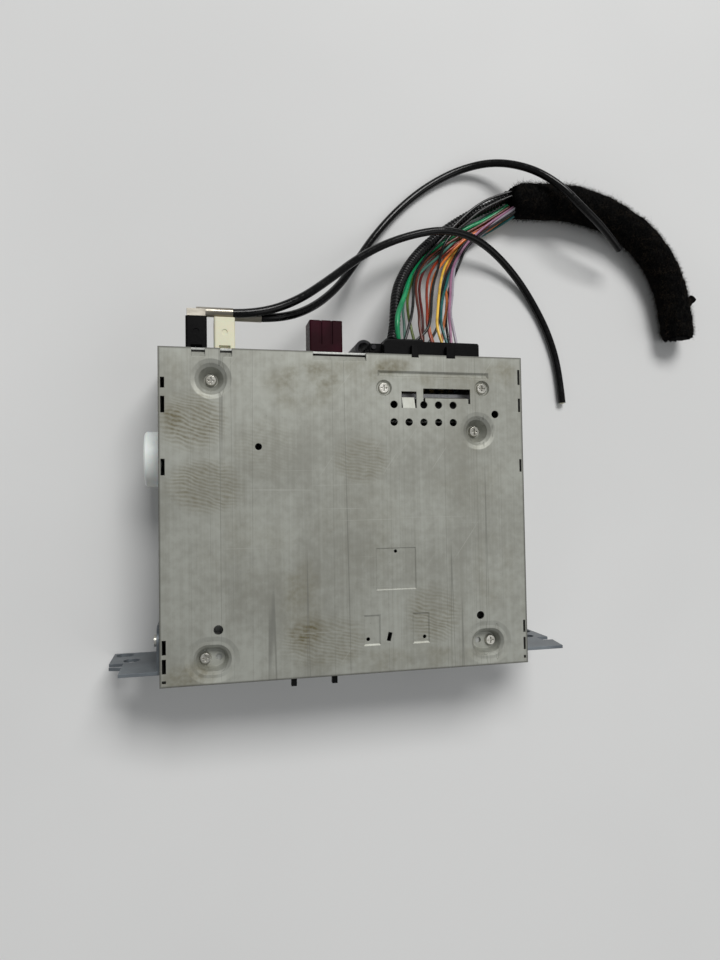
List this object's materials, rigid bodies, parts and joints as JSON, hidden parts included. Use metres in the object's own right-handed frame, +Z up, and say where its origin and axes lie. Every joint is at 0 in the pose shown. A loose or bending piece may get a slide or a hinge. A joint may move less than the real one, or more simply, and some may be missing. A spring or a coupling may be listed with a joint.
{
  "type": "car radio main unit",
  "caption": "Steel-cased car radio and disc player main unit with rear connectors, aerial leads and a cut-off wiring harness.",
  "frame": {"origin": "centre of the case's bottom face, where it rests", "axes": "+X to the right seen from the front, +Y to the rear connectors, +Z up through the lid"},
  "size_m": [0.3355, 0.2804, 0.05],
  "materials": {
    "zinc_steel": "zinc-plated sheet, satin",
    "brushed_zinc": "zinc-plated sheet with brushed streaks and finger marks",
    "galvanised_steel": "bluish passivated zinc, satin",
    "screw_steel": "zinc plated",
    "white_nylon": "moulded nylon, satin",
    "black_plastic": "moulded, satin",
    "connector_black": "moulded glass-filled plastic",
    "lever_plastic": "moulded, satin",
    "felt": "short pile",
    "circuit_board": "green solder mask",
    "black_epoxy": "moulded epoxy",
    "capacitor_sleeve": "printed sleeve",
    "aluminium": "mill finish",
    "tinned_steel": "tin plated",
    "contact_brass": "plated brass",
    "ivory_plastic": "moulded, satin",
    "nickel_plate": "dull nickel plate",
    "claret_plastic": "moulded, satin",
    "spring_steel": "bright wire",
    "damper_rubber": "soft silicone",
    "flex_film": "polyimide film with copper tracks",
    "deck_steel": "zinc-plated sheet",
    "motor_can": "drawn steel can",
    "turntable_plastic": "moulded with a rubber ring",
    "guide_plastic": "acetal",
    "gear_plastic": "natural acetal",
    "roller_rubber": "ground rubber",
    "sled_casting": "die-cast",
    "lens_glass": "coated lens",
    "coax_jacket": "smooth PVC jacket",
    "fleece_tape": "fleece wrapping tape",
    "conduit_plastic": "corrugated polyamide",
    "wire_green": "PVC insulation",
    "wire_black": "PVC insulation",
    "wire_brown": "PVC insulation",
    "wire_orange": "PVC insulation",
    "wire_grey": "PVC insulation"
  },
  "bodies": {
    "chassis": {"chassis_tray": "zinc_steel", "top_cover": "brushed_zinc", "front_plate": "zinc_steel", "slot_frame": "black_plastic", "slot_felts": "felt", "panel_connector": "black_plastic", "rear_panel": "zinc_steel", "left_flange_bracket": "galvanised_steel", "right_flange_bracket": "galvanised_steel", "bracket_screws": "screw_steel", "side_guide_boss": "white_nylon", "case_screws": "screw_steel", "main_board": "circuit_board", "board_posts": "screw_steel", "processor_chip": "black_epoxy", "filter_capacitors": "capacitor_sleeve", "heat_sink": "aluminium", "power_amplifier": "black_epoxy", "tuner_can": "tinned_steel", "main_header": "black_plastic", "contact_pins": "contact_brass", "main_plug": "connector_black", "plug_wire_cover": "connector_black", "aerial_socket_block": "tinned_steel", "black_aerial_plug": "connector_black", "white_aerial_plug": "ivory_plastic", "aerial_elbows": "nickel_plate", "data_socket": "claret_plastic", "drive_frame": "zinc_steel", "deck_springs": "spring_steel", "deck_dampers": "damper_rubber", "flex_cable": "flex_film", "black_aerial_lead": "coax_jacket", "white_aerial_lead": "coax_jacket", "fleece_sleeve": "fleece_tape", "corrugated_conduit": "conduit_plastic", "wires_green": "wire_green", "wires_black": "wire_black", "wires_brown": "wire_brown", "wires_orange": "wire_orange", "wires_grey": "wire_grey"},
    "latch_lever": {"plug_latch_lever": "lever_plastic"},
    "deck": {"drive_deck": "deck_steel", "spindle_motor": "motor_can", "guide_rods": "spring_steel", "upper_disc_guide": "guide_plastic", "roller_bearings": "guide_plastic", "drive_motors": "motor_can", "clamp_pivot_pin": "spring_steel"},
    "turntable": {"turntable": "turntable_plastic"},
    "clamp_arm": {"clamp_arm": "deck_steel"},
    "clamp_puck": {"clamp_puck": "turntable_plastic"},
    "loading_roller": {"roller_shaft": "gear_plastic", "loading_roller": "roller_rubber"},
    "idler_gear": {"idler_gear": "gear_plastic"},
    "load_pinion": {"load_pinion": "gear_plastic"},
    "lead_screw": {"lead_screw": "gear_plastic"},
    "sled_pinion": {"sled_pinion": "gear_plastic"},
    "pickup_sled": {"pickup_sled": "sled_casting"},
    "lens": {"objective_lens": "lens_glass"}
  },
  "joints": [
    {"name": "latch_lever_swing", "type": "hinge", "parent": "chassis", "child": "latch_lever", "pos_m": [0.014, 0.08185, 0.026], "axis": [0, 0, 1], "range_deg": [-40, 0]},
    {"name": "deck_float", "type": "slide", "parent": "chassis", "child": "deck", "axis": [0, 0, 1], "range_m": [-0.0008, 0.0008], "stiffness_N_per_m": 6000, "springref_m": 0.0003, "deforming": ["deck_springs"]},
    {"name": "turntable_spin", "type": "hinge", "parent": "deck", "child": "turntable", "pos_m": [0, -0.006, 0.03], "axis": [0, 0, 1], "continuous": true},
    {"name": "clamp_arm_lift", "type": "hinge", "parent": "deck", "child": "clamp_arm", "pos_m": [0, 0.038, 0.036], "axis": [-1, 0, 0], "range_deg": [0, 5]},
    {"name": "clamp_puck_spin", "type": "hinge", "parent": "clamp_arm", "child": "clamp_puck", "pos_m": [0, -0.006, 0.033], "axis": [0, 0, 1], "continuous": true},
    {"name": "roller_spin", "type": "hinge", "parent": "deck", "child": "loading_roller", "pos_m": [0, -0.055, 0.03], "axis": [1, 0, 0], "continuous": true},
    {"name": "idler_spin", "type": "hinge", "parent": "deck", "child": "idler_gear", "pos_m": [0.068, -0.04144, 0.03], "axis": [1, 0, 0], "continuous": true},
    {"name": "load_pinion_spin", "type": "hinge", "parent": "deck", "child": "load_pinion", "pos_m": [0.068, -0.03113, 0.026], "axis": [1, 0, 0], "continuous": true},
    {"name": "pickup_slide", "type": "slide", "parent": "deck", "child": "pickup_sled", "axis": [1, 0, 0], "range_m": [0, 0.034]},
    {"name": "lead_screw_spin", "type": "hinge", "parent": "deck", "child": "lead_screw", "pos_m": [0.04, -0.024, 0.024], "axis": [1, 0, 0], "range_deg": [-10, 4090]},
    {"name": "sled_pinion_spin", "type": "hinge", "parent": "deck", "child": "sled_pinion", "pos_m": [0.005, -0.03046, 0.024], "axis": [1, 0, 0], "range_deg": [-6810, 10]},
    {"name": "lens_focus", "type": "slide", "parent": "pickup_sled", "child": "lens", "axis": [0, 0, 1], "range_m": [-0.0004, 0.0004], "stiffness_N_per_m": 40}
  ],
  "couplings": [
    {"joint": "idler_spin", "follows": "roller_spin", "ratio": -0.8},
    {"joint": "load_pinion_spin", "follows": "roller_spin", "ratio": 1.7143},
    {"joint": "lead_screw_spin", "follows": "pickup_slide", "rad_per_m": 2094.4},
    {"joint": "sled_pinion_spin", "follows": "pickup_slide", "rad_per_m": -3490.7}
  ]
}
